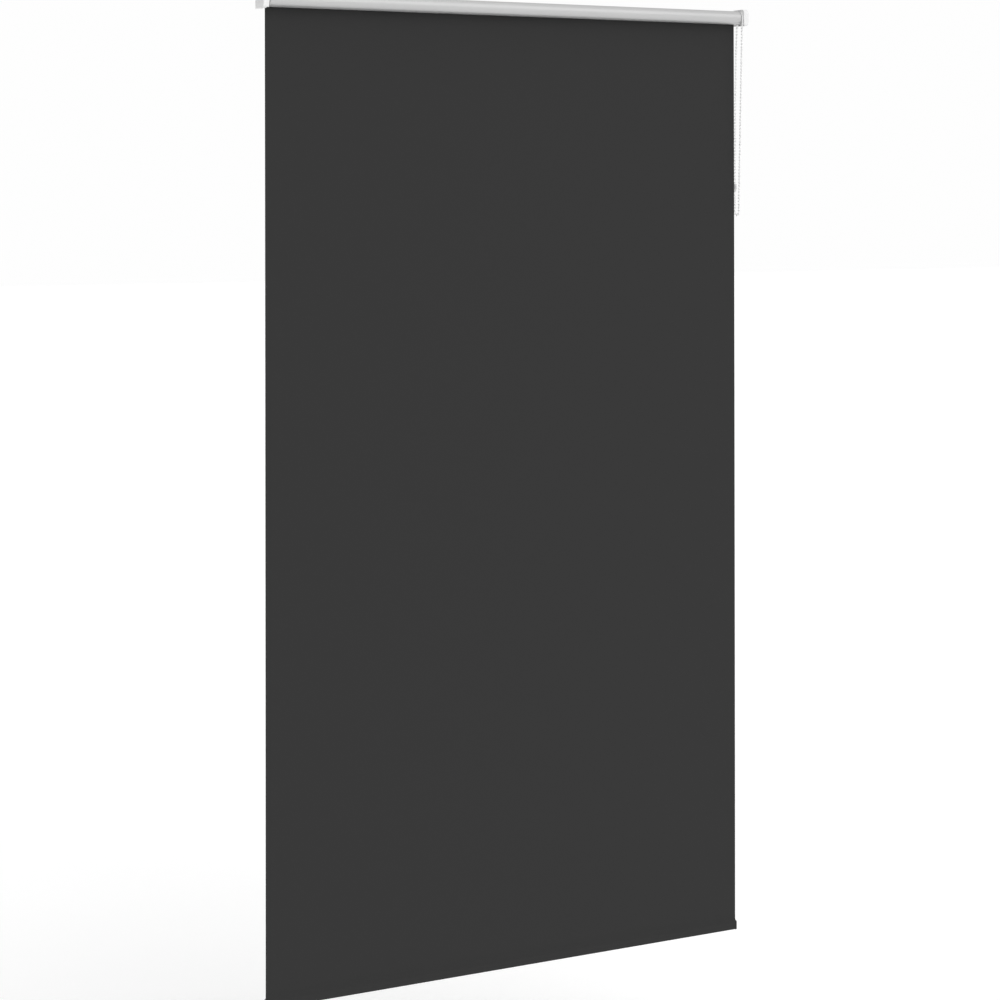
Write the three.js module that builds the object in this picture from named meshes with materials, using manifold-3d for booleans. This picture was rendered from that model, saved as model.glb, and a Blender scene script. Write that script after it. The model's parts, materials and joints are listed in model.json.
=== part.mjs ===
// A side-chain roller blind, fully lowered: two steel brackets with plastic covers, a tube on a
// wrap-spring clutch at the right and a sprung idler pin at the left, and a hung fabric with a
// weighted hem. Millimetres. The origin is on the wall, midway between the brackets, at the height
// of the tube's axis. +X runs along the tube to the right, +Y into the wall, +Z up.
import * as THREE from "three";
import { mergeVertices } from "three/addons/utils/BufferGeometryUtils.js";
import Module from "manifold-3d";

const wasm = await Module();
wasm.setup();

// ---- Overall sizes ----
const OVERALL_WIDTH = 995; // over the two bracket covers
const OVERALL_HEIGHT = 1750; // top of the brackets to the bottom of the hem
const WALL_TO_AXIS = 20;
const AXIS_TO_FRONT = 16; // tube's axis to the front of the covers

// ---- Clearances ----
const FIT = 0.3; // between pieces that touch, fit in or run on each other
const SKIN = 0.1; // between the wound layers of the roll
const CHAIN_CLEAR = 0.45; // between the chain and the mouth in the cover
const GUARD_CLEAR = 0.95; // between the chain and its guard
const COVER_ROOM = 1.3; // between the guard and the cover above and below it

// ---- Brackets and covers ----
const PLATE = 1.2; // the bracket's sheet steel
const COVER_WALL = 1.2;
const COVER_SPAN = 10.5; // from a cover's outer face to its inner edge
const COVER_CORNER = 7; // radius of the cover's front corners
const TOP_FLANGE_REACH = 26; // the ceiling flange, out from the wall
const FIXING_HOLE = 2.2; // radius of a screw hole
const FIXING_HOLE_RISE = 8; // each wall hole, above and below the axis
const CEILING_HOLES = [-8, -19]; // each ceiling hole's distance from the wall

// ---- Tube, fabric and hem ----
const TUBE_RADIUS = 12;
const TUBE_WALL = 1;
const TUBE_OVERHANG = 0.3; // tube's end beyond the fabric's edge
const FABRIC = 0.35;
const TAPE = 0.2; // the adhesive strip's thickness
const TAPE_ARC = THREE.MathUtils.degToRad(56);
const TAPE_INSET = 4; // the strip's end in from the fabric's edge
const BAR_HEIGHT = 16;
const BAR_THICKNESS = 5;
const BAR_WALL = 1;
const BAR_INSET = 1; // the bar's end in from the fabric's edge
const SEAM_HEIGHT = 6; // the welded band over the hem's pocket
const SEAM_SLOPE = THREE.MathUtils.degToRad(24); // the pocket's sides, leaning in to that band
const CAP_PLATE = 1.2;
const CAP_LIP = 0.6; // the end cap's rim beyond the pocket
const CAP_SPIGOT = 12; // the cap's plug inside the bar

// ---- Chain, wheel and guard ----
const BEAD = 4.5; // diameter of the chain's beads
const WHEEL_POCKETS = 9;
const WHEEL_HUB = 0.75; // the wheel's wall between its bore and its groove
const WHEEL_RIM_RISE = 1.6; // the rim beyond the chain's centreline
const WHEEL_RIM = 0.75; // thickness of the rim at either side of the bead
const NOTCH_RADIUS = 1.3;
const GUARD_WALL = 1.2;
const GUARD_DISC = 1.2;
const CONNECTOR_LENGTH = 13;
const CONNECTOR_WALL = 0.45;

// ---- Clutch ----
const JOURNAL_RADIUS = 5;
const BOSS_STEP = 1; // the boss in the guard's hole, beyond the journal
const BOSS_LENGTH = 0.8;
const COLLAR_STEP = 2.5; // the collar against the guard, beyond the boss
const COLLAR = 0.8;
const TONGUE_HEIGHT = 9; // the spindle's flat tongue, in the bracket's slot
const TONGUE_THICKNESS = 3.6;
const END_FLANGE = 0.6; // flange on the end of the drive sleeve
const SLEEVE_LENGTH = 43;
const SLEEVE_END_WALL = 4;
const SLEEVE_RIB_ARC = THREE.MathUtils.degToRad(24);
const SLEEVE_FLOAT = 1.5; // the sleeve's end play on the spindle
const DRIVE_SHELL_LENGTH = 22; // the wheel's driving half-shell, over the springs
const DRIVE_SHELL_WALL = 1;
const DRIVE_SHELL_ARC = THREE.MathUtils.degToRad(190);
const WRAP_WIRE = 1; // wire diameter
const WRAP_TURNS = 6;
const WRAP_PITCH = 1.2;
const WRAP_TANG = 1.8; // how far a spring's end stands out
const WRAP_ROOM = 0.7; // between the springs and the half-shell
const WRAP_LEAD = THREE.MathUtils.degToRad(12); // from a spring's end to the half-shell's edge
const WASHER_RADIUS = 7.5;
const WASHER = 1;
const SCREW_RADIUS = 1.5;
const SCREW_HEAD_RADIUS = 3;
const SCREW_HEAD = 2.2;
const SCREW_LENGTH = 12;
const SCREW_SLOT = 0.8;

// ---- Idler ----
const PLUG_LENGTH = 40;
const PLUG_NOSE = 8; // solid outer end of the plug, bored for the pin
const PLUG_FLANGE = 2.2; // flange against the tube's end
const CHAMBER_RADIUS = 5;
const PIN_RADIUS = 2.5;
const PIN_LENGTH = 47;
const PIN_CHAMFER = 0.8;
const PIN_COLLAR_RADIUS = 4.4;
const PIN_COLLAR = 2;
const PLUG_CAP = 3;
const PLUG_CAP_INSET = 3; // the cap's face in from the plug's inner end
const SPRING_WIRE = 0.8;
const SPRING_TURNS = 6;
const SPRING_RADIUS = 3.7; // the coil's mean radius

// ---- Facets ----
const ROUND = 48;
const SMALL_ROUND = 24;
const WIRE_SIDES = 5;
const CHAIN_SIDES = 8;
const CHAIN_STEPS = 3; // between two points of its route
const COIL_STEPS = 14; // on each turn of a spring

// The chain hangs a little back towards the wall. Each strand's places are [towards the wall from
// where it leaves the wheel, z], from the wheel down.
const FRONT_STRAND = [
  [0.05, -12],
  [0.5, -32],
  [1.7, -70],
  [3.5, -125],
  [5.6, -185],
  [7.6, -245],
  [9.8, -305],
  [11.4, -348],
];
const BACK_STRAND = [
  [0.2, -12],
  [1.1, -32],
  [3.3, -70],
  [5.2, -125],
  [6.7, -185],
  [7.5, -245],
  [7.8, -300],
  [7.8, -345],
];
const LOOP_TURN = [9.8, -368.5]; // centre of the turn at the bottom, [y, z] from the tube's axis
const LOOP_RADIUS = 6.5;
const CHAIN_GAP = THREE.MathUtils.degToRad(1.33); // from the top of the wheel to each end
const CONNECTOR_HEIGHT = -322; // on the back strand

// ---- Control end's radii ----
const bossRadius = JOURNAL_RADIUS + BOSS_STEP;
const collarRadius = bossRadius + COLLAR_STEP;
const pitchRadius = JOURNAL_RADIUS + FIT + WHEEL_HUB + FIT + BEAD / 2;
const rimRadius = pitchRadius + WHEEL_RIM_RISE;
const guardRadius = pitchRadius + BEAD / 2 + GUARD_CLEAR + GUARD_WALL;
const wrapRadius = JOURNAL_RADIUS + FIT + WRAP_WIRE / 2;
const shellRadius = wrapRadius + WRAP_WIRE / 2 + WRAP_ROOM + DRIVE_SHELL_WALL;
const sleeveBore = shellRadius + FIT;
const axisToTop = guardRadius + COVER_ROOM + COVER_WALL; // and to the bottom

// ---- Places along X, from a bracket cover's outer face inwards ----
const outerFace = OVERALL_WIDTH / 2;
const coverInner = outerFace - COVER_WALL;
const plateOuter = coverInner - FIT;
const plateInner = plateOuter - PLATE;
const bossEnd = plateInner - FIT;
const collarOuter = bossEnd - BOSS_LENGTH;
const collarInner = collarOuter - COLLAR;
const discOuter = collarInner - FIT;
const discInner = discOuter - GUARD_DISC;
const wheelOuter = discInner - FIT;
const wheelWidth = BEAD + 2 * (FIT + WHEEL_RIM);
const wheelInner = wheelOuter - wheelWidth;
const chainX = wheelOuter - wheelWidth / 2;
const flangeOuter = wheelInner - FIT;
const flangeInner = flangeOuter - END_FLANGE;
const tubeEnd = flangeInner - FIT;
const fabricEdge = tubeEnd - TUBE_OVERHANG;
const coverEdge = outerFace - COVER_SPAN;

// ---- Sizes that follow ----
const tubeBore = TUBE_RADIUS - TUBE_WALL;
const tapeInner = TUBE_RADIUS + SKIN;
const turnsInner = tapeInner + TAPE + SKIN;
const rollRadius = turnsInner + FABRIC;
const panelFront = rollRadius + SKIN; // from the axis towards the wall
const panelMiddle = panelFront + FABRIC / 2;
const plugRadius = tubeBore - FIT;
const pocketInner = BAR_THICKNESS / 2 + SKIN;
const pocketOuter = pocketInner + FABRIC;
const capBottom = axisToTop - OVERALL_HEIGHT;
const pocketBottom = capBottom + CAP_LIP;
const barBottom = pocketBottom + FABRIC + SKIN;
const barTop = barBottom + BAR_HEIGHT;
const neckTop = neckHeight(pocketOuter, FABRIC);
const seamTop = neckTop + SEAM_HEIGHT;

// ---- Finishes ----
function finish(color, roughness, metalness = 0) {
  return new THREE.MeshStandardMaterial({ color, roughness, metalness });
}
const whitePaint = finish(0xe9e9e7, 0.45);
const whitePlastic = finish(0xf0f0ee, 0.4);
const chainPlastic = finish(0xe2e2e0, 0.4);
const greyPlastic = finish(0xb9bbbc, 0.5);
const darkPlastic = finish(0x2b2b2b, 0.5);
const clearPlastic = finish(0xe8ecec, 0.2);
const steel = finish(0x9a9c9e, 0.35, 1);
const aluminium = finish(0xb4b6b8, 0.4, 1);
const charcoal = finish(0x383838, 0.9);
const coatedReverse = finish(0xc9c9c9, 0.55);
const adhesive = finish(0xd9d4c4, 0.6);

// ---- Solid and section helpers ----
function toSolid(geometry) {
  const bare = geometry.clone();
  bare.deleteAttribute("normal");
  bare.deleteAttribute("uv");
  const merged = mergeVertices(bare, 1e-4);
  return new wasm.Manifold(
    new wasm.Mesh({
      numProp: 3,
      vertProperties: merged.attributes.position.array,
      triVerts: new Uint32Array(merged.index.array),
    }),
  );
}

function toGeometry(solid) {
  const made = solid.getMesh();
  const geometry = new THREE.BufferGeometry();
  geometry.setAttribute("position", new THREE.BufferAttribute(made.vertProperties, 3));
  geometry.setIndex(new THREE.BufferAttribute(made.triVerts, 1));
  geometry.computeVertexNormals();
  return geometry;
}

function joined(...geometries) {
  const solids = geometries.map(toSolid);
  return toGeometry(solids.reduce((sum, solid) => sum.add(solid)));
}

function cut(body, ...tools) {
  const solids = tools.map(toSolid);
  return toGeometry(solids.reduce((rest, solid) => rest.subtract(solid), toSolid(body)));
}

// A box between two corners.
function block([x0, y0, z0], [x1, y1, z1]) {
  const box = new THREE.BoxGeometry(x1 - x0, y1 - y0, z1 - z0);
  return box.translate((x0 + x1) / 2, (y0 + y1) / 2, (z0 + z1) / 2);
}

// A solid of revolution about the X axis, from a closed outline of [x, radius] points.
function turned(outline, facets = ROUND) {
  const points = outline.map(([x, radius]) => new THREE.Vector2(radius, x));
  if (THREE.ShapeUtils.area(points) < 0) points.reverse();
  const geometry = new THREE.LatheGeometry([...points, points[0]], facets);
  return geometry.rotateZ(-Math.PI / 2);
}

function ring(x0, x1, inner, outer, facets = ROUND) {
  return turned([[x0, inner], [x0, outer], [x1, outer], [x1, inner]], facets);
}

function rod(x0, x1, radius, facets = SMALL_ROUND) {
  const points = [[0, x0], [radius, x0], [radius, x1], [0, x1]];
  const profile = points.map(([r, x]) => new THREE.Vector2(r, x));
  return new THREE.LatheGeometry(profile, facets).rotateZ(-Math.PI / 2);
}

// Turns what was drawn in the X-Y plane and extruded along Z, so that it is drawn in the Y-Z plane
// and runs along X.
const alongX = new THREE.Matrix4().makeBasis(
  new THREE.Vector3(0, 1, 0),
  new THREE.Vector3(0, 0, 1),
  new THREE.Vector3(1, 0, 0),
);

// A shape drawn in Y and Z, extruded from x0 to x1.
function extruded(shape, x0, x1, curveSegments = 8) {
  const options = { depth: x1 - x0, bevelEnabled: false, curveSegments };
  return new THREE.ExtrudeGeometry(shape, options).applyMatrix4(alongX).translate(x0, 0, 0);
}

// A sector of a ring about the X axis, in the Y-Z plane.
function ringSector(inner, outer, start, arc) {
  const shape = new THREE.Shape();
  shape.absarc(0, 0, outer, start, start + arc, false);
  shape.absarc(0, 0, inner, start + arc, start, true);
  return shape;
}

function tubeAlong(curve, radius, steps, sides) {
  const section = new THREE.Shape();
  for (let i = 0; i < sides; i++) {
    const angle = (i / sides) * 2 * Math.PI;
    const point = [radius * Math.cos(angle), radius * Math.sin(angle)];
    if (i) section.lineTo(...point);
    else section.moveTo(...point);
  }
  return new THREE.ExtrudeGeometry(section, { steps, extrudePath: curve, bevelEnabled: false });
}

// A helix about the X axis. With a tang, its two ends stand straight out.
class Coil extends THREE.Curve {
  constructor(start, length, radius, turns, tang = 0) {
    super();
    const ends = tang ? 1 : 0;
    const steps = Math.round(turns * COIL_STEPS) + 2 * ends;
    Object.assign(this, { start, length, radius, turns, tang, steps, lead: ends / steps });
  }

  // Steps go evenly round the helix, with one on each tang.
  getUtoTmapping(u) {
    return u;
  }

  getPoint(t, target = new THREE.Vector3()) {
    const { lead } = this;
    const along = THREE.MathUtils.clamp((t - lead) / (1 - 2 * lead), 0, 1);
    const out = lead ? Math.max(lead - t, t - (1 - lead), 0) / lead : 0;
    const angle = along * this.turns * 2 * Math.PI;
    const radius = this.radius + out * this.tang;
    const x = this.start + along * this.length;
    return target.set(x, radius * Math.cos(angle), radius * Math.sin(angle));
  }
}

// A smooth curve through its points, with the same number of steps between each two.
class Route extends THREE.CatmullRomCurve3 {
  getUtoTmapping(u) {
    return u;
  }
}

function part(name, geometry, material) {
  const mesh = new THREE.Mesh(geometry, material);
  mesh.name = name;
  return mesh;
}

// ---- Brackets: a side plate, a wall flange and a ceiling flange. Built for the right side, in
// coordinates from the wall. ----
function bracketBody(sideOpening) {
  const low = -axisToTop + COVER_WALL + FIT;
  const front = -WALL_TO_AXIS - AXIS_TO_FRONT + COVER_WALL + FIT;
  const flangeStart = coverEdge + FIT;
  const corner = COVER_CORNER - COVER_WALL - FIT;
  const side = new THREE.Shape();
  side.moveTo(0, low);
  side.lineTo(0, axisToTop);
  side.lineTo(-TOP_FLANGE_REACH, axisToTop);
  side.lineTo(-TOP_FLANGE_REACH, axisToTop - COVER_WALL - FIT);
  side.lineTo(front + corner, axisToTop - COVER_WALL - FIT);
  side.absarc(front + corner, axisToTop - COVER_WALL - FIT - corner, corner,
    Math.PI / 2, Math.PI, false);
  side.absarc(front + corner, low + corner, corner, Math.PI, 1.5 * Math.PI, false);
  const plate = extruded(side, plateInner, plateOuter);
  const wallFlange = block([flangeStart, -PLATE, low], [plateOuter, 0, axisToTop]);
  const ceilingFlange = block(
    [flangeStart, -TOP_FLANGE_REACH, axisToTop - PLATE],
    [plateOuter, 0, axisToTop],
  );
  return cut(joined(plate, wallFlange, ceilingFlange), sideOpening, ...fixingHoles());
}

function fixingHoles() {
  const holeX = (coverEdge + FIT + plateInner) / 2;
  const length = 4 * PLATE;
  const drill = () => new THREE.CylinderGeometry(FIXING_HOLE, FIXING_HOLE, length, SMALL_ROUND);
  const wallHoles = [-1, 1].map((way) => drill().translate(holeX, 0, way * FIXING_HOLE_RISE));
  const ceilingHoles = CEILING_HOLES.map((y) =>
    drill().rotateX(Math.PI / 2).translate(holeX, y, axisToTop));
  return [...wallHoles, ...ceilingHoles];
}

function pinHole() {
  return rod(plateInner - FIT, plateOuter + FIT, PIN_RADIUS + FIT).translate(0, -WALL_TO_AXIS, 0);
}

function tongueSlot() {
  const y = TONGUE_THICKNESS / 2 + FIT;
  const z = TONGUE_HEIGHT / 2 + FIT;
  const slot = block([plateInner - FIT, -y, -z], [plateOuter + FIT, y, z]);
  return slot.translate(0, -WALL_TO_AXIS, 0);
}

// ---- Cover: closed at the outer side, the front and below, open at the wall and over the
// ceiling flange. A lip at its inner edge closes round the front of the chain guard. ----
function coverOutline(inset) {
  const front = -WALL_TO_AXIS - AXIS_TO_FRONT + inset;
  const top = axisToTop - inset;
  const low = -axisToTop + inset;
  const corner = COVER_CORNER - inset;
  const back = inset ? COVER_WALL : 0;
  const outline = new THREE.Shape();
  outline.moveTo(back, low);
  outline.lineTo(back, top);
  outline.absarc(front + corner, top - corner, corner, Math.PI / 2, Math.PI, false);
  outline.absarc(front + corner, low + corner, corner, Math.PI, 1.5 * Math.PI, false);
  return outline;
}

function bracketCover() {
  const body = extruded(coverOutline(0), coverEdge, outerFace);
  const hollow = extruded(coverOutline(COVER_WALL), coverEdge + COVER_WALL, coverInner);
  const topGap = block(
    [coverEdge - COVER_WALL, -TOP_FLANGE_REACH - FIT, axisToTop - 2 * COVER_WALL],
    [coverInner, COVER_WALL, axisToTop + COVER_WALL],
  );
  return cut(body, hollow, topGap, ...coverMouth());
}

// The way in from the inner side: round the guard, down through the bottom for the chain, and
// straight back to the wall.
function coverMouth() {
  const start = coverEdge - COVER_WALL;
  const outline = guardOutline(guardRadius + FIT, axisToTop + COVER_WALL);
  const round = extruded(outline, start, chainX + BEAD / 2 + CHAIN_CLEAR, 24);
  const height = axisToTop - COVER_WALL;
  const back = block([start, -WALL_TO_AXIS, -height], [coverEdge + 2 * COVER_WALL, COVER_WALL, height]);
  return [round.translate(0, -WALL_TO_AXIS, 0), back];
}

// ---- Control end, about the tube's axis ----
function guardOutline(radius, drop) {
  const outline = new THREE.Shape();
  outline.absarc(0, 0, radius, 0, Math.PI, false);
  outline.lineTo(-radius, -drop);
  outline.lineTo(radius, -drop);
  return outline;
}

// How far below the axis the guard's sides reach: to where they clear the cover's rounded corner.
function guardDrop() {
  const corner = COVER_CORNER - COVER_WALL - FIT;
  const past = guardRadius - (AXIS_TO_FRONT - COVER_CORNER);
  return axisToTop - COVER_CORNER + Math.sqrt(corner ** 2 - past ** 2);
}

function chainGuard() {
  const drop = guardDrop();
  const body = extruded(guardOutline(guardRadius, drop), wheelInner, discOuter, 24);
  const hollowRadius = guardRadius - GUARD_WALL;
  const hollow = extruded(
    guardOutline(hollowRadius, drop + GUARD_WALL), wheelInner - GUARD_WALL, discInner, 24,
  );
  const bossHole = rod(discInner - FIT, discOuter + FIT, bossRadius + FIT);
  return cut(body, hollow, bossHole);
}

function chainWheel() {
  const groove = BEAD / 2 + FIT;
  const grooveSteps = 8;
  const outline = [[wheelInner, JOURNAL_RADIUS + FIT], [wheelInner, rimRadius]];
  outline.push([chainX - groove, rimRadius]);
  for (let i = 0; i <= grooveSteps; i++) {
    const angle = Math.PI + (i / grooveSteps) * Math.PI;
    const x = chainX + groove * Math.cos(angle);
    outline.push([x, pitchRadius + groove * Math.sin(angle)]);
  }
  outline.push([chainX + groove, rimRadius]);
  outline.push([wheelOuter, rimRadius], [wheelOuter, JOURNAL_RADIUS + FIT]);
  const notches = [];
  for (let i = 0; i < WHEEL_POCKETS; i++) {
    const notch = rod(wheelInner - FIT, wheelOuter + FIT, NOTCH_RADIUS, 8);
    notch.translate(0, 0, rimRadius);
    notches.push(notch.rotateX((i / WHEEL_POCKETS) * 2 * Math.PI));
  }
  return joined(cut(turned(outline), ...notches), driveShell());
}

// The wheel's half-shell, which turns between the springs and the drive sleeve.
function driveShell() {
  const sector = ringSector(shellRadius - DRIVE_SHELL_WALL, shellRadius, 0, DRIVE_SHELL_ARC);
  return extruded(sector, wheelInner - DRIVE_SHELL_LENGTH, wheelInner + WHEEL_RIM / 2, 20);
}

function driveSleeve() {
  const inner = flangeOuter - SLEEVE_LENGTH;
  const wallEnd = inner + SLEEVE_END_WALL;
  const body = turned([
    [inner, JOURNAL_RADIUS + FIT],
    [inner, plugRadius],
    [flangeInner, plugRadius],
    [flangeInner, TUBE_RADIUS],
    [flangeOuter, TUBE_RADIUS],
    [flangeOuter, sleeveBore],
    [wallEnd, sleeveBore],
    [wallEnd, JOURNAL_RADIUS + FIT],
  ]);
  const ribInner = wrapRadius + WRAP_WIRE / 2 + FIT;
  const middle = (DRIVE_SHELL_ARC + 2 * Math.PI) / 2;
  const start = middle - SLEEVE_RIB_ARC / 2;
  const sector = ringSector(ribInner, sleeveBore + FIT, start, SLEEVE_RIB_ARC);
  return joined(body, extruded(sector, wallEnd - FIT, flangeOuter, 4));
}

function clutchSpindle() {
  const end = spindleEnd();
  const body = turned([
    [end, SCREW_RADIUS + FIT],
    [end, JOURNAL_RADIUS],
    [discInner, JOURNAL_RADIUS],
    [discInner, bossRadius],
    [collarInner, bossRadius],
    [collarInner, collarRadius],
    [collarOuter, collarRadius],
    [collarOuter, bossRadius],
    [bossEnd, bossRadius],
    [bossEnd, SCREW_RADIUS + FIT],
  ]);
  const y = TONGUE_THICKNESS / 2;
  const z = TONGUE_HEIGHT / 2;
  const tongue = block([bossEnd - BOSS_LENGTH, -y, -z], [plateOuter - FIT, y, z]);
  return joined(body, tongue);
}

function spindleEnd() {
  return flangeOuter - SLEEVE_LENGTH - SLEEVE_FLOAT;
}

// The two closely wound springs sit side by side under the wheel's half-shell. Each has one end
// near either edge of the half-shell.
function wrapSpring(order) {
  const length = WRAP_TURNS * WRAP_PITCH;
  const room = DRIVE_SHELL_LENGTH / 2;
  const start = wheelInner - order * room - (room + length) / 2;
  const open = 2 * Math.PI - DRIVE_SHELL_ARC - 2 * WRAP_LEAD;
  const turns = WRAP_TURNS + open / (2 * Math.PI);
  const coil = new Coil(start, length, wrapRadius, turns, WRAP_TANG);
  const wire = tubeAlong(coil, WRAP_WIRE / 2, coil.steps, WIRE_SIDES);
  return wire.rotateX(DRIVE_SHELL_ARC + WRAP_LEAD);
}

function clutchWasher() {
  const outer = spindleEnd() - FIT;
  return ring(outer - WASHER, outer, SCREW_RADIUS + FIT, WASHER_RADIUS, SMALL_ROUND);
}

function clutchScrew() {
  const headOuter = spindleEnd() - 2 * FIT - WASHER;
  const headInner = headOuter - SCREW_HEAD;
  const head = rod(headInner, headOuter, SCREW_HEAD_RADIUS);
  const shank = rod(headOuter - FIT, headOuter + SCREW_LENGTH, SCREW_RADIUS);
  const slot = block(
    [headInner - FIT, -SCREW_SLOT / 2, -SCREW_HEAD_RADIUS - FIT],
    [headInner + SCREW_HEAD / 2, SCREW_SLOT / 2, SCREW_HEAD_RADIUS + FIT],
  );
  return cut(joined(head, shank), slot);
}

// Points along an arc in the wheel's plane, with its centre at [y, z].
function arcPoints([y, z], radius, from, to, count) {
  const points = [];
  for (let i = 0; i < count; i++) {
    const angle = from + ((to - from) * i) / (count - 1);
    const out = [y + radius * Math.cos(angle), z + radius * Math.sin(angle)];
    points.push(new THREE.Vector3(chainX, ...out));
  }
  return points;
}

// Over the wheel, down the front, round the bottom, up the back and over the wheel again.
function chainRoute() {
  const top = Math.PI / 2;
  const down = FRONT_STRAND.map(([y, z]) => new THREE.Vector3(chainX, y - pitchRadius, z));
  const up = BACK_STRAND.map(([y, z]) => new THREE.Vector3(chainX, y + pitchRadius, z));
  const points = [
    ...arcPoints([0, 0], pitchRadius, top + CHAIN_GAP, Math.PI, 5),
    ...down,
    ...arcPoints(LOOP_TURN, LOOP_RADIUS, -Math.PI, 0, 7),
    ...up.reverse(),
    ...arcPoints([0, 0], pitchRadius, 0, top - CHAIN_GAP, 5),
  ];
  return new Route(points, false, "centripetal");
}

function beadChain() {
  const route = chainRoute();
  return tubeAlong(route, BEAD / 2, CHAIN_STEPS * (route.points.length - 1), CHAIN_SIDES);
}

// A clear sleeve over the chain's two ends, on the straight of the back strand.
function chainConnector() {
  const inner = BEAD / 2 + FIT;
  const half = CONNECTOR_LENGTH / 2;
  const strand = pitchRadius + BACK_STRAND[BACK_STRAND.length - 1][0];
  const sleeve = ring(-half, half, inner, inner + CONNECTOR_WALL, SMALL_ROUND);
  return sleeve.rotateY(Math.PI / 2).translate(chainX, strand, CONNECTOR_HEIGHT);
}

// ---- Idler end, about the tube's axis, built for the right side and mirrored ----
function chamberOuter() {
  return flangeOuter - PLUG_NOSE;
}

function idlerPlug() {
  const inner = flangeOuter - PLUG_LENGTH;
  const face = flangeInner + PLUG_FLANGE;
  const pinBore = PIN_RADIUS + FIT;
  return turned([
    [inner, CHAMBER_RADIUS],
    [inner, plugRadius],
    [flangeInner, plugRadius],
    [flangeInner, TUBE_RADIUS],
    [face, TUBE_RADIUS],
    [face, pinBore],
    [chamberOuter(), pinBore],
    [chamberOuter(), CHAMBER_RADIUS],
  ]);
}

function capFace() {
  return flangeOuter - PLUG_LENGTH + PLUG_CAP_INSET + PLUG_CAP;
}

function idlerCap() {
  const face = capFace();
  return ring(face - PLUG_CAP, face, PIN_RADIUS + FIT, CHAMBER_RADIUS - FIT, SMALL_ROUND);
}

function idlerPin() {
  const tip = plateOuter - FIT;
  const collar = chamberOuter() - FIT;
  const shank = rod(tip - PIN_LENGTH, tip - PIN_CHAMFER, PIN_RADIUS);
  const nose = new THREE.CylinderGeometry(
    PIN_RADIUS - PIN_CHAMFER, PIN_RADIUS, PIN_CHAMFER, SMALL_ROUND,
  );
  nose.rotateZ(-Math.PI / 2).rotateX(Math.PI).translate(tip - PIN_CHAMFER / 2, 0, 0);
  const flange = ring(collar - PIN_COLLAR, collar, PIN_RADIUS / 2, PIN_COLLAR_RADIUS, SMALL_ROUND);
  return joined(shank, flange, nose.translate(-SKIN, 0, 0));
}

function idlerSpring() {
  const outer = chamberOuter() - PIN_COLLAR - 2 * FIT - SPRING_WIRE / 2;
  const inner = capFace() + FIT + SPRING_WIRE / 2;
  const coil = new Coil(inner, outer - inner, SPRING_RADIUS, SPRING_TURNS);
  return tubeAlong(coil, SPRING_WIRE / 2, coil.steps, WIRE_SIDES);
}

// ---- Tube and fabric, about the tube's axis ----
function rollerTube() {
  return ring(-tubeEnd, tubeEnd, tubeBore, TUBE_RADIUS);
}

function adhesiveStrip() {
  const end = fabricEdge - TAPE_INSET;
  const sector = ringSector(tapeInner, tapeInner + TAPE, Math.PI / 2, TAPE_ARC);
  return extruded(sector, -end, end, 8);
}

function fabricTurns() {
  return ring(-fabricEdge, fabricEdge, turnsInner, rollRadius);
}

function fabricPanel() {
  return block(
    [-fabricEdge, panelFront, seamTop + FIT],
    [fabricEdge, panelFront + FABRIC, 0],
  );
}

// ---- Hem and bar, in a section centred on the fabric ----
// The height at which a pocket's leaning sides are down to the neck's half width.
function neckHeight(radius, neckHalf) {
  const roundEnd = barTop - BAR_THICKNESS / 2;
  return roundEnd + (radius - neckHalf * Math.cos(SEAM_SLOPE)) / Math.sin(SEAM_SLOPE);
}

// A loop round the flat bar that narrows to a neck above it, and the flat band over that.
function hemSection(radius, neckHalf, band) {
  const lowEnd = barBottom + BAR_THICKNESS / 2;
  const highEnd = barTop - BAR_THICKNESS / 2;
  const neck = neckHeight(radius, neckHalf);
  const outline = new THREE.Shape();
  outline.absarc(0, lowEnd, radius, Math.PI, 2 * Math.PI, false);
  outline.absarc(0, highEnd, radius, 0, SEAM_SLOPE, false);
  outline.lineTo(neckHalf, neck);
  if (band) {
    outline.lineTo(neckHalf, neck + band);
    outline.lineTo(-neckHalf, neck + band);
  }
  outline.lineTo(-neckHalf, neck);
  outline.absarc(0, highEnd, radius, Math.PI - SEAM_SLOPE, Math.PI, false);
  return outline;
}

function hemPocket() {
  const outer = hemSection(pocketOuter, FABRIC, SEAM_HEIGHT);
  const inner = hemSection(pocketInner, SKIN, 0);
  const body = extruded(outer, -fabricEdge, fabricEdge);
  const hollow = extruded(inner, -fabricEdge - FIT, fabricEdge + FIT);
  return cut(body, hollow).translate(0, panelMiddle, 0);
}

// A flat bar's section: two straight sides with round ends.
function barSection(inset) {
  const radius = BAR_THICKNESS / 2 - inset;
  const outline = new THREE.Shape();
  outline.absarc(0, barBottom + BAR_THICKNESS / 2, radius, Math.PI, 2 * Math.PI, false);
  outline.absarc(0, barTop - BAR_THICKNESS / 2, radius, 0, Math.PI, false);
  return outline;
}

function bottomBar() {
  const end = fabricEdge - BAR_INSET;
  const body = extruded(barSection(0), -end, end);
  const hollow = extruded(barSection(BAR_WALL), -end - FIT, end + FIT);
  return cut(body, hollow).translate(0, panelMiddle, 0);
}

function barCap() {
  const plateStart = fabricEdge + FIT;
  const rim = SKIN + FABRIC + CAP_LIP;
  const plate = extruded(barSection(-rim), plateStart, plateStart + CAP_PLATE);
  const spigot = extruded(barSection(BAR_WALL + FIT), plateStart - CAP_SPIGOT, plateStart + FIT);
  return joined(plate, spigot).translate(0, panelMiddle, 0);
}

// ---- Assembly ----
function mirrored(...meshes) {
  const side = new THREE.Group();
  side.scale.x = -1;
  side.add(...meshes);
  return side;
}

const leftEnd = mirrored(
  part("left_bracket", bracketBody(pinHole()), whitePaint),
  part("left_bracket_cover", bracketCover(), whitePlastic),
);

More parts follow.
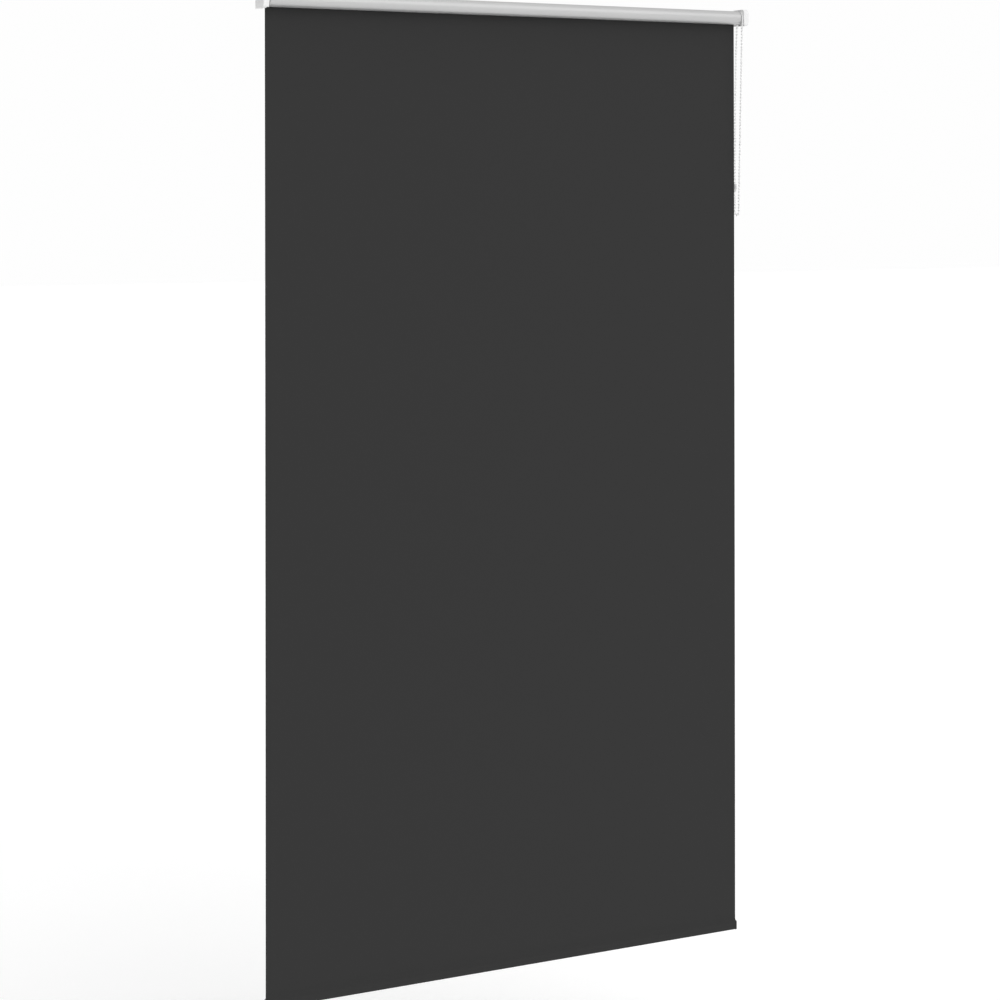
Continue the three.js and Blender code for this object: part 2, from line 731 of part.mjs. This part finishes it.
const rightEnd = new THREE.Group();
rightEnd.add(
  part("right_bracket", bracketBody(tongueSlot()), whitePaint),
  part("right_bracket_cover", bracketCover(), whitePlastic),
);

const control = new THREE.Group();
control.add(
  part("chain_guard", chainGuard(), whitePlastic),
  part("clutch_spindle", clutchSpindle(), greyPlastic),
  part("clutch_washer", clutchWasher(), steel),
  part("clutch_screw", clutchScrew(), steel),
  part("chain_wheel", chainWheel(), whitePlastic),
  part("wrap_spring_outer", wrapSpring(0), steel),
  part("wrap_spring_inner", wrapSpring(1), steel),
  part("drive_sleeve", driveSleeve(), greyPlastic),
  part("bead_chain", beadChain(), chainPlastic),
  part("chain_connector", chainConnector(), clearPlastic),
);

const idler = mirrored(
  part("idler_plug", idlerPlug(), greyPlastic),
  part("idler_cap", idlerCap(), greyPlastic),
  part("idler_pin", idlerPin(), steel),
  part("idler_spring", idlerSpring(), steel),
);

const roll = new THREE.Group();
roll.add(
  part("roller_tube", rollerTube(), aluminium),
  part("adhesive_strip", adhesiveStrip(), adhesive),
  part("fabric_turns", fabricTurns(), coatedReverse),
);

const drop = new THREE.Group();
drop.add(
  part("fabric_panel", fabricPanel(), charcoal),
  part("hem_pocket", hemPocket(), charcoal),
  part("bottom_bar", bottomBar(), aluminium),
  part("right_bar_cap", barCap(), darkPlastic),
  mirrored(part("left_bar_cap", barCap(), darkPlastic)),
);

const aboutAxis = new THREE.Group();
aboutAxis.position.y = -WALL_TO_AXIS;
aboutAxis.add(control, idler, roll, drop);

const blind = new THREE.Group();
blind.name = "roller_blind";
blind.add(leftEnd, rightEnd, aboutAxis);

export default blind;
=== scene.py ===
import json
import math

import bmesh
import bpy
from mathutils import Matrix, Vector


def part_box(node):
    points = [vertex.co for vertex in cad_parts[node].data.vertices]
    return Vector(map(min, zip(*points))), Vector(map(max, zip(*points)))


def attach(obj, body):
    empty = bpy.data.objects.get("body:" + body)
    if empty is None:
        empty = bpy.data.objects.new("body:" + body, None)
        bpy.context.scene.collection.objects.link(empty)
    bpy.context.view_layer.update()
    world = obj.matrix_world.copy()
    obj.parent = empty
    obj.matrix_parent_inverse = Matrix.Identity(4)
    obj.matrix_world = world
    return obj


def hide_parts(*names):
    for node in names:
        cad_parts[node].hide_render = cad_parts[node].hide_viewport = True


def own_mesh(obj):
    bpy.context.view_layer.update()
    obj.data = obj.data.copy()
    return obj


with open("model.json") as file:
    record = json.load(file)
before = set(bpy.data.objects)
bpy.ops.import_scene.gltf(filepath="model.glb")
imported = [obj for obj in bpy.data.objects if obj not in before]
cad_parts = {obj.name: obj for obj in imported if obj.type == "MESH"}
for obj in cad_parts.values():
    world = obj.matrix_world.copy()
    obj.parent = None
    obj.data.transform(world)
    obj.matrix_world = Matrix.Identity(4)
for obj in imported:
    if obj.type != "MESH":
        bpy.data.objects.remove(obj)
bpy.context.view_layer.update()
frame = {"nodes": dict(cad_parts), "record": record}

# ---- Sizes, in metres, in the row frame ----
AXIS_Y = -0.020  # the tube's axis; the wall is at 0
FABRIC = 0.00035  # the fabric's thickness

# The panel
PANEL_ROWS = 141
PANEL_COLUMNS = 97
HEM_LAP = 0.0003  # the panel runs this far down to meet the hem's band
TOP_LEAN = 0.001  # its top edge leans on the roll over this height
LEAN_STEPS = 5
THIN_EDGE = 0.00001  # half the thickness that the top edge thins out to
BOW = 0.0004
EDGE_CURL = 0.0007
RIPPLE = 0.00015

# The hem, in section
HEM_COLUMNS = 61
BAR_HALF = 0.0025  # half the bar's thickness
POCKET_RADIUS = 0.00295
POCKET_SLOPE = math.radians(24)  # from the bar in to the welded band
BAND_GAP = 0.00002  # half the gap between the band's two layers

# The fabric on the tube
ROLL_ROWS = 49
ROLL_SIDES = 144
ROLL_INSET = 0.00007
TURN_EDGE = 0.00006  # how far the edge of a turn shows through
TURN_EDGE_ANGLE = 2.1
TURN_EDGE_SPREAD = 0.06

# The idler spring
SPRING_WIRE = 0.0008
SPRING_TURNS = 6
SPRING_STEPS = 24  # in each turn
SPRING_SIDES = 10

# The chain. The strands are (out from the wheel's tangent, up) in the plane X = CHAIN_X.
CHAIN_X = 0.4878
PITCH_RADIUS = 0.0086
FRONT_STRAND = [
    (0.00005, -0.012),
    (0.0005, -0.032),
    (0.0017, -0.070),
    (0.0035, -0.125),
    (0.0056, -0.185),
    (0.0076, -0.245),
    (0.0098, -0.305),
    (0.0114, -0.348),
]
BACK_STRAND = [
    (0.0002, -0.012),
    (0.0011, -0.032),
    (0.0033, -0.070),
    (0.0052, -0.125),
    (0.0067, -0.185),
    (0.0075, -0.245),
    (0.0078, -0.300),
    (0.0078, -0.345),
]
LOOP_TURN = (0.0098, -0.3685)
LOOP_RADIUS = 0.0065
CHAIN_GAP = math.radians(1.33)  # half the gap between the chain's ends, at the wheel's top
CURVE_STEPS = 8  # between two points of the route
BEAD = 0.0045
BEAD_PITCH = 0.006
BEAD_RINGS = 9
BEAD_SIDES = 14
THREAD = 0.0012

# How the hard nodes' sharp edges are rounded: (width, segments, nodes)
ROUNDED = [
    (0.0005, 3, ("left_bracket_cover", "right_bracket_cover")),
    (0.0003, 3, ("left_bracket", "right_bracket", "chain_guard")),
    (0.0004, 3, ("left_bar_cap", "right_bar_cap")),
    (0.00015, 2, ("chain_connector", "chain_wheel", "clutch_spindle", "drive_sleeve", "idler_plug")),
    (0.0001, 2, ("roller_tube", "bottom_bar", "idler_pin", "idler_cap", "clutch_washer")),
]
WELD_WITHIN = 0.000002
SHARP_CORNER = 50  # degrees; a smaller corner isn't rounded
SHARP_SHADING = 25  # degrees; a smaller corner is shaded smooth

# ---- Camera, light and floor ----
CAMERA_AT = (-2.1351, -3.9126, -0.3361)
CAMERA_YAW = 28.395
CAMERA_PITCH = 0.169
CAMERA_ROLL = -0.073
CAMERA_REACH = 200
LENS = 88.43
SENSOR = 36.0
SHIFT_Y = -0.3121
# (name, strength, spread, elevation, azimuth), the last three in degrees
SUNS = [("key", 0.8, 60, 30, 15), ("overhead", 0.6, 40, 84, 15)]
WORLD_LEFT = 0.35
WORLD_RIGHT = 0.85
WORLD_SEEN = 0.99
FLOOR_Z = -2.0
FLOOR_HALF = 40
FLOOR_GLOW = 0.18

# ---- Materials' sizes ----
WARP_PERIOD = 0.0009
WEFT_PERIOD = 0.0008
WAVES_IN_SCALE = math.pi / 10  # a wave texture's scale is this over its period
TRANSLUCENT_SCALE = 0.003
EVEN_RADIUS = (1, 1, 1)


def add_camera():
    data = bpy.data.cameras.new("photo_camera")
    data.sensor_width = SENSOR
    data.lens = LENS
    data.shift_y = SHIFT_Y
    data.clip_end = CAMERA_REACH
    camera = bpy.data.objects.new("photo_camera", data)
    camera.location = CAMERA_AT
    angles = (90 + CAMERA_PITCH, -CAMERA_ROLL, -CAMERA_YAW)
    camera.rotation_euler = [math.radians(angle) for angle in angles]
    bpy.context.scene.collection.objects.link(camera)
    bpy.context.scene.camera = camera


# ---- Node helpers ----
def grey(value):
    """The linear colour of a grey given as 0 to 255 on a screen."""
    level = ((value / 255 + 0.055) / 1.055) ** 2.4
    return (level, level, level, 1)


class Shader:
    """A material's node tree, with short calls for the nodes used here."""

    def __init__(self, name, **sockets):
        self.material = bpy.data.materials.new(name)
        self.material.use_nodes = True
        self.nodes = self.material.node_tree.nodes
        self.links = self.material.node_tree.links
        self.surface = self.nodes["Principled BSDF"]
        for socket, value in sockets.items():
            self.surface.inputs[socket.replace("_", " ")].default_value = value
        self.place = self.nodes.new("ShaderNodeTexCoord").outputs["Object"]

    def link(self, source, target):
        self.links.new(source, target)

    def scaled(self, x, y, z):
        mapping = self.nodes.new("ShaderNodeMapping")
        mapping.inputs["Scale"].default_value = (x, y, z)
        self.link(self.place, mapping.inputs["Vector"])
        return mapping.outputs["Vector"]

    def noise(self, scale, detail, vector=None):
        node = self.nodes.new("ShaderNodeTexNoise")
        node.inputs["Scale"].default_value = scale
        node.inputs["Detail"].default_value = detail
        node.inputs["Roughness"].default_value = 0.55
        self.link(vector or self.place, node.inputs["Vector"])
        return node.outputs["Fac"]

    def wave(self, axis, period):
        node = self.nodes.new("ShaderNodeTexWave")
        node.bands_direction = axis
        node.inputs["Scale"].default_value = WAVES_IN_SCALE / period
        self.link(self.place, node.inputs["Vector"])
        return node.outputs["Fac"]

    def combined(self, operation, a, b):
        node = self.nodes.new("ShaderNodeMath")
        node.operation = operation
        for socket, value in zip(node.inputs, (a, b)):
            if isinstance(value, (int, float)):
                socket.default_value = value
            else:
                self.link(value, socket)
        return node.outputs[0]

    def colours(self, factor, low, high):
        node = self.nodes.new("ShaderNodeMix")
        node.data_type = "RGBA"
        node.inputs["A"].default_value = low
        node.inputs["B"].default_value = high
        self.link(factor, node.inputs["Factor"])
        self.link(node.outputs["Result"], self.surface.inputs["Base Color"])

    def roughness(self, factor, low, high):
        node = self.nodes.new("ShaderNodeMapRange")
        node.inputs["To Min"].default_value = low
        node.inputs["To Max"].default_value = high
        self.link(factor, node.inputs["Value"])
        self.link(node.outputs["Result"], self.surface.inputs["Roughness"])

    def bump(self, height, distance):
        node = self.nodes.new("ShaderNodeBump")
        node.inputs["Distance"].default_value = distance
        node.inputs["Strength"].default_value = 1.0
        self.link(height, node.inputs["Height"])
        self.link(node.outputs["Normal"], self.surface.inputs["Normal"])


# ---- Materials ----
def woven_front():
    s = Shader("charcoal_weave", Roughness=0.9, Sheen_Weight=0.03, Specular_IOR_Level=0.25)
    threads = s.combined("MULTIPLY", s.wave("X", WARP_PERIOD), s.wave("Z", WEFT_PERIOD))
    slubs = s.noise(1.0, detail=2, vector=s.scaled(180, 180, 2600))
    grain = s.combined(
        "ADD", s.combined("MULTIPLY", threads, 0.7), s.combined("MULTIPLY", slubs, 0.3)
    )
    s.colours(grain, grey(45), grey(53))
    s.roughness(slubs, 0.86, 0.95)
    s.bump(grain, 0.00006)
    return s.material


def coated_back():
    s = Shader("silver_coating", Metallic=0.55, Specular_IOR_Level=0.5)
    mottle = s.noise(900, detail=4)
    warp = s.combined("MULTIPLY", s.wave("X", WARP_PERIOD), 0.15)
    s.colours(s.noise(6, detail=2), grey(190), grey(197))
    s.roughness(mottle, 0.36, 0.46)
    s.bump(s.combined("ADD", mottle, warp), 0.00003)
    return s.material


def moulded(name, low, high, rough, grain=700, depth=0.00003, **sockets):
    s = Shader(name, **sockets)
    peel = s.noise(grain, detail=2)
    s.colours(s.noise(40, detail=2), low, high)
    s.roughness(peel, rough - 0.04, rough + 0.05)
    s.bump(peel, depth)
    return s.material


def metal(name, low, high, rough, stretch):
    s = Shader(name, Metallic=1.0)
    lines = s.noise(1.0, detail=4, vector=s.scaled(*stretch))
    s.colours(lines, low, high)
    s.roughness(lines, rough - 0.06, rough + 0.08)
    s.bump(lines, 0.00001)
    return s.material


def chain_moulding():
    return moulded(
        "chain_moulding",
        grey(238),
        grey(245),
        0.3,
        grain=1500,
        depth=0.00001,
        Subsurface_Weight=0.6,
        Subsurface_Scale=TRANSLUCENT_SCALE,
        Subsurface_Radius=EVEN_RADIUS,
    )


def milky_moulding():
    return moulded(
        "milky_moulding",
        grey(243),
        grey(248),
        0.3,
        Transmission_Weight=0.15,
        IOR=1.46,
        Subsurface_Weight=0.7,
        Subsurface_Scale=TRANSLUCENT_SCALE,
        Subsurface_Radius=EVEN_RADIUS,
    )


MATERIALS = {
    "charcoal_fabric": woven_front(),
    "coated_reverse": coated_back(),
    "white_plastic": moulded("white_moulding", grey(234), grey(239), 0.33),
    "white_paint": moulded(
        "white_powder_coat", grey(232), grey(238), 0.5, grain=1400, depth=0.00006
    ),
    "chain_plastic": chain_moulding(),
    "grey_plastic": moulded("grey_moulding", grey(184), grey(192), 0.42),
    "dark_plastic": moulded("charcoal_moulding", grey(46), grey(52), 0.45, grain=1800),
    "clear_plastic": milky_moulding(),
    "steel": metal("plated_steel", grey(168), grey(190), 0.3, (900, 900, 900)),
    "aluminium": metal("drawn_aluminium", grey(190), grey(208), 0.36, (6, 2200, 2200)),
    "adhesive": moulded("double_sided_tape", grey(205), grey(220), 0.55, grain=300),
}


# ---- Mesh helpers ----
def smooth(mesh, degrees):
    mesh.polygons.foreach_set("use_smooth", [True] * len(mesh.polygons))
    mesh.set_sharp_from_angle(angle=math.radians(degrees))


def closed_piece(name, verts, faces, slots, index, degrees):
    """A piece with its normals facing out and its corners sharp past that angle. index says which
    of the slots each face has."""
    mesh = bpy.data.meshes.new(name)
    mesh.from_pydata([tuple(point) for point in verts], [], faces)
    obj = bpy.data.objects.new(name, mesh)
    bpy.context.scene.collection.objects.link(obj)
    for slot in slots:
        mesh.materials.append(MATERIALS[slot])
    mesh.polygons.foreach_set("material_index", index)
    bm = bmesh.new()
    bm.from_mesh(mesh)
    bmesh.ops.recalc_face_normals(bm, faces=bm.faces)
    bm.to_mesh(mesh)
    bm.free()
    smooth(mesh, degrees)
    return obj


def grid_faces(rows, columns, round_rows=False, round_columns=False):
    """Quads over rows of points. The last row or column can join the first."""
    faces = []
    for r in range(rows if round_rows else rows - 1):
        a, b = r * columns, (r + 1) % rows * columns
        for c in range(columns if round_columns else columns - 1):
            n = (c + 1) % columns
            faces.append((a + c, a + n, b + n, b + c))
    return faces


def circle(centre, radius, first, second, count):
    turns = [2 * math.pi * i / count for i in range(count)]
    return [centre + radius * (math.cos(t) * first + math.sin(t) * second) for t in turns]


def arc(centre, radius, start, end, count):
    turns = [start + (end - start) * i / (count - 1) for i in range(count)]
    return [(centre[0] + radius * math.cos(t), centre[1] + radius * math.sin(t)) for t in turns]


def capped_tube(name, rings, slot):
    """A closed tube through rings of points."""
    around = len(rings[0])
    verts = [point for ring in rings for point in ring]
    faces = grid_faces(len(rings), around, round_columns=True)
    faces.append(tuple(range(around)))
    faces.append(tuple(range(len(verts) - around, len(verts))))
    return closed_piece(name, verts, faces, (slot,), [0] * len(faces), 50)


# ---- The CAD nodes that stay ----
def dress_nodes():
    slots = {s["node"]: s["material_slot"] for s in frame["record"]["subparts"]}
    for name, node in frame["nodes"].items():
        node.data.materials.clear()
        node.data.materials.append(MATERIALS[slots[name]])


def soften(name, width, segments):
    """Rounds the sharp edges of a hard node."""
    node = frame["nodes"][name]
    weld = node.modifiers.new("weld", "WELD")
    weld.merge_threshold = WELD_WITHIN
    bevel = node.modifiers.new("edges", "BEVEL")
    bevel.width = width
    bevel.segments = segments
    bevel.limit_method = "ANGLE"
    bevel.angle_limit = math.radians(SHARP_CORNER)
    bevel.harden_normals = True
    smooth(node.data, SHARP_SHADING)


# ---- Fabric ----
def hang(x, z, half, length):
    """How far the fabric stands off its plane: a slow bow, curled side edges and a faint ripple."""
    down = min(max(-z / length, 0), 1)
    held = math.sin(math.pi * down) ** 0.8
    across = x / half
    bow = BOW * math.cos(across * math.pi / 2) * math.sin(2 * math.pi * down)
    curl = -EDGE_CURL * across**8
    ripple = RIPPLE * math.sin(17 * x + 1.3) * math.sin(9 * down)
    return held * (bow + curl + ripple)


def swept(name, rows, columns, slots, slot_of):
    """A closed piece whose section is a loop of rows. Each row is a function of x, and the first
    half of the rows faces the second half, which closes the two ends."""
    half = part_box("fabric_panel")[1].x
    across = [-half + 2 * half * c / (columns - 1) for c in range(columns)]
    verts = [(x, *row(x)) for row in rows for x in across]
    count = len(rows)
    faces = grid_faces(count, columns, round_rows=True)
    index = [slot_of(k) for k in range(count) for _ in across[1:]]
    for k in range(count // 2 - 1):
        corners = (k, k + 1, count - 2 - k, count - 1 - k)
        for c in (0, columns - 1):
            faces.append(tuple(row * columns + c for row in corners))
            index.append(0)
    return closed_piece(name, verts, faces, slots, index, 60)


def panel_sheet():
    """The hanging fabric. Its top leans on the back of the roll and thins out there."""
    low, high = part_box("fabric_panel")
    middle = (low.y + high.y) / 2
    bottom = low.z - HEM_LAP
    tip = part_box("fabric_turns")[1].y - ROLL_INSET

    def hanging(r, side):
        z = bottom * r / (PANEL_ROWS - 1)
        return lambda x: (middle + side * FABRIC / 2 + hang(x, z, high.x, -bottom), z)

    def leaning(s, side):
        share = s / LEAN_STEPS
        start = middle + side * FABRIC / 2
        end = tip + THIN_EDGE * (3 + side)
        y = start + (end - start) * math.sin(share * math.pi / 2)
        return lambda x: (y, TOP_LEAN * share)

    hung, leant = range(PANEL_ROWS), range(1, LEAN_STEPS + 1)
    front = [hanging(r, -1) for r in reversed(hung)] + [leaning(s, -1) for s in leant]
    back = [leaning(s, 1) for s in reversed(leant)] + [hanging(r, 1) for r in hung]
    last = len(front) + len(back) - 1
    return swept(
        "blackout_panel",
        front + back,
        PANEL_COLUMNS,
        ("charcoal_fabric", "coated_reverse"),
        lambda k: 0 if k < PANEL_ROWS or k == last else 1,
    )


def pocket_line(radius, neck_half, bar_low, bar_high, seam):
    """The hem's loop in section: down the back from the welded band, round the bar, up the front."""
    high, low = bar_high - BAR_HALF, bar_low + BAR_HALF
    neck = high + (radius - neck_half * math.cos(POCKET_SLOPE)) / math.sin(POCKET_SLOPE)
    line = [
        (neck_half, seam),
        (neck_half, (seam + neck) / 2),
        (neck_half + 0.00004, neck + 0.0008),
        (neck_half + 0.0003, neck - 0.0004),
    ]
    line += arc((0, high), radius, POCKET_SLOPE, 0, 5)
    front = [(-y, z) for y, z in reversed(line)]
    return line + arc((0, low), radius, 0, -math.pi, 17) + front


def hem_loop():
    low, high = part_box("hem_pocket")
    bar_low, bar_high = (corner.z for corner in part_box("bottom_bar"))
    middle = (low.y + high.y) / 2
    outer = pocket_line(POCKET_RADIUS, FABRIC, bar_low, bar_high, high.z)
    inner = pocket_line(POCKET_RADIUS - FABRIC, BAND_GAP, bar_low, bar_high, high.z)
    rows = [lambda x, y=y, z=z: (middle + y, z) for y, z in outer + inner[::-1]]
    lowest = len(outer) // 2
    return swept(
        "welded_hem",
        rows,
        HEM_COLUMNS,
        ("charcoal_fabric", "coated_reverse"),
        lambda k: 0 if lowest - 2 <= k < len(outer) else 1,
    )


def wound_roll():
    """The fabric on the tube, light side out, with the edge of a turn showing and its cut ends."""
    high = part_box("fabric_turns")[1]
    radius = high.y - AXIS_Y
    rings = [(high.x * (2 * r / (ROLL_ROWS - 1) - 1), True) for r in range(ROLL_ROWS)]
    rings += [(high.x, False), (-high.x, False)]
    verts = []
    for x, outside in rings:
        for a in range(ROLL_SIDES):
            angle = 2 * math.pi * a / ROLL_SIDES
            rise = TURN_EDGE * math.exp(-(((angle - TURN_EDGE_ANGLE) / TURN_EDGE_SPREAD) ** 2))
            at = radius - ROLL_INSET + rise if outside else radius - FABRIC
            verts.append((x, AXIS_Y + at * math.cos(angle), at * math.sin(angle)))
    faces = grid_faces(len(rings), ROLL_SIDES, round_rows=True, round_columns=True)
    shown = (ROLL_ROWS - 1) * ROLL_SIDES
    index = [0] * shown + [1] * (len(faces) - shown)
    return closed_piece("wound_fabric", verts, faces, ("coated_reverse", "charcoal_fabric"), index, 40)


# ---- Idler spring ----
def pin_spring():
    """The spring behind the idler pin. Its inner end stays on the cap as the pin goes in."""
    low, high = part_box("idler_spring")
    wire = SPRING_WIRE / 2
    radius = (high.y - low.y) / 2 - wire
    lead = (high.x - low.x - 2 * wire) / (2 * math.pi * SPRING_TURNS)
    rings = []
    for i in range(SPRING_TURNS * SPRING_STEPS + 1):
        angle = 2 * math.pi * i / SPRING_STEPS
        out = Vector((0, math.cos(angle), math.sin(angle)))
        along = Vector((lead, -radius * math.sin(angle), radius * math.cos(angle))).normalized()
        centre = Vector((low.x + wire + lead * angle, AXIS_Y, 0)) + radius * out
        rings.append(circle(centre, wire, out, along.cross(out), SPRING_SIDES))
    return capped_tube("coil_spring", rings, "steel")


# ---- Chain ----
def smooth_route(points):
    """Points along a centripetal curve through the given ones."""
    ends = [2 * points[0] - points[1], *points, 2 * points[-1] - points[-2]]
    line = []
    for p0, p1, p2, p3 in zip(ends, ends[1:], ends[2:], ends[3:]):
        t0 = 0.0
        t1 = t0 + (p1 - p0).length ** 0.5
        t2 = t1 + (p2 - p1).length ** 0.5
        t3 = t2 + (p3 - p2).length ** 0.5
        for i in range(CURVE_STEPS):
            t = t1 + (t2 - t1) * i / CURVE_STEPS
            a1 = (t1 - t) / (t1 - t0) * p0 + (t - t0) / (t1 - t0) * p1
            a2 = (t2 - t) / (t2 - t1) * p1 + (t - t1) / (t2 - t1) * p2
            a3 = (t3 - t) / (t3 - t2) * p2 + (t - t2) / (t3 - t2) * p3
            b1 = (t2 - t) / (t2 - t0) * a1 + (t - t0) / (t2 - t0) * a2
            b2 = (t3 - t) / (t3 - t1) * a2 + (t - t1) / (t3 - t1) * a3
            line.append((t2 - t) / (t2 - t1) * b1 + (t - t1) / (t2 - t1) * b2)
    line.append(points[-1])
    return line


def distances(line):
    """How far along a line each of its points is."""
    lengths = [0.0]
    for a, b in zip(line, line[1:]):
        lengths.append(lengths[-1] + (b - a).length)
    return lengths


def spaced(line, count):
    """That many points at even steps along a line, with its direction at each."""
    lengths = distances(line)
    found = []
    k = 0
    for i in range(count):
        at = lengths[-1] * i / (count - 1)
        while k < len(line) - 2 and lengths[k + 1] < at:
            k += 1
        share = (at - lengths[k]) / (lengths[k + 1] - lengths[k])
        direction = (line[k + 1] - line[k]).normalized()
        found.append((line[k].lerp(line[k + 1], share), direction))
    return found


def bead_profile():
    """Half a section of one bead and its stretch of thread: (distance along, radius)."""
    neck = math.acos(THREAD / BEAD)
    bead = arc((0, 0), BEAD / 2, -neck, neck, BEAD_RINGS)
    return [(-BEAD_PITCH / 2, THREAD / 2), *((along, out) for out, along in bead)]


def chain_route():
    """Over the wheel, down the front, round the bottom, up the back and over the wheel again."""
    top = math.pi / 2
    places = arc((0, 0), PITCH_RADIUS, top + CHAIN_GAP, math.pi, 5)
    places += [(y - PITCH_RADIUS, z) for y, z in FRONT_STRAND]
    places += arc(LOOP_TURN, LOOP_RADIUS, -math.pi, 0, 7)
    places += [(y + PITCH_RADIUS, z) for y, z in reversed(BACK_STRAND)]
    places += arc((0, 0), PITCH_RADIUS, 0, top - CHAIN_GAP, 5)
    return [Vector((CHAIN_X, AXIS_Y + y, z)) for y, z in places]


def add_chain():
    points = chain_route()
    line = smooth_route(points)
    total = distances(line)[-1]
    side = Vector((1, 0, 0))
    # Every second point is a bead's middle, and the last is the end of the thread.
    places = spaced(line, 2 * round(total / BEAD_PITCH) + 1)
    rings = []
    for point, along in places[1::2]:
        up = along.cross(side).normalized()
        for distance, radius in bead_profile():
            rings.append(circle(point + along * distance, radius, side, up, BEAD_SIDES))
    end, along = places[-1]
    rings.append(circle(end, THREAD / 2, side, along.cross(side).normalized(), BEAD_SIDES))
    obj = capped_tube("chain_beads", rings, "chain_plastic")
    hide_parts("bead_chain")
    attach(obj, "brackets")


# ---- Light and floor ----
def add_world():
    """White behind the object. It lights it softly, and less from the left."""
    world = bpy.data.worlds.new("studio")
    world.use_nodes = True
    nodes, links = world.node_tree.nodes, world.node_tree.links
    direction = nodes.new("ShaderNodeTexCoord")
    axes = nodes.new("ShaderNodeSeparateXYZ")
    links.new(direction.outputs["Generated"], axes.inputs["Vector"])
    across = nodes.new("ShaderNodeMapRange")
    across.inputs["From Min"].default_value = -1
    across.inputs["To Min"].default_value = WORLD_LEFT
    across.inputs["To Max"].default_value = WORLD_RIGHT
    links.new(axes.outputs["X"], across.inputs["Value"])
    seen = nodes.new("ShaderNodeLightPath")
    level = nodes.new("ShaderNodeMix")
    level.inputs["B"].default_value = WORLD_SEEN
    links.new(seen.outputs["Is Camera Ray"], level.inputs["Factor"])
    links.new(across.outputs["Result"], level.inputs["A"])
    links.new(level.outputs["Result"], nodes["Background"].inputs["Strength"])
    nodes["Background"].inputs["Color"].default_value = (1, 1, 1, 1)
    bpy.context.scene.world = world


def add_sun(name, strength, spread, elevation, azimuth):
    data = bpy.data.lights.new(name, "SUN")
    data.energy = strength
    data.angle = math.radians(spread)
    light = bpy.data.objects.new(name, data)
    light.rotation_euler = (math.radians(90 - elevation), 0, math.radians(azimuth))
    bpy.context.scene.collection.objects.link(light)


def add_floor():
    bm = bmesh.new()
    bmesh.ops.create_grid(bm, x_segments=2, y_segments=2, size=FLOOR_HALF)
    mesh = bpy.data.meshes.new("floor")
    bm.to_mesh(mesh)
    bm.free()
    floor = bpy.data.objects.new("floor", mesh)
    floor.location.z = FLOOR_Z
    bpy.context.scene.collection.objects.link(floor)
    s = Shader("pale_floor", Roughness=0.8, Specular_IOR_Level=0.2, Emission_Strength=FLOOR_GLOW)
    s.surface.inputs["Emission Color"].default_value = (1, 1, 1, 1)
    s.colours(s.noise(1.5, detail=2), grey(248), grey(251))
    mesh.materials.append(s.material)


def add_hem():
    hem = hem_loop()
    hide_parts("hem_pocket")
    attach(hem, "hem_bar")
    return hem


def add_roll():
    roll = wound_roll()
    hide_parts("fabric_turns")
    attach(roll, "roller")


def add_spring():
    spring = pin_spring()
    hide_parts("idler_spring")
    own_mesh(spring)
    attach(spring, "roller")


def add_panel():
    panel = panel_sheet()
    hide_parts("fabric_panel")
    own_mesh(panel)
    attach(panel, "brackets")


def build():
    add_camera()
    dress_nodes()
    add_chain()
    for width, segments, names in ROUNDED:
        for name in names:
            soften(name, width, segments)
    hem = add_hem()
    add_roll()
    add_spring()
    add_panel()
    add_world()
    for sun in SUNS:
        add_sun(*sun)
    add_floor()
    bpy.context.scene.view_settings.view_transform = "Standard"


build()
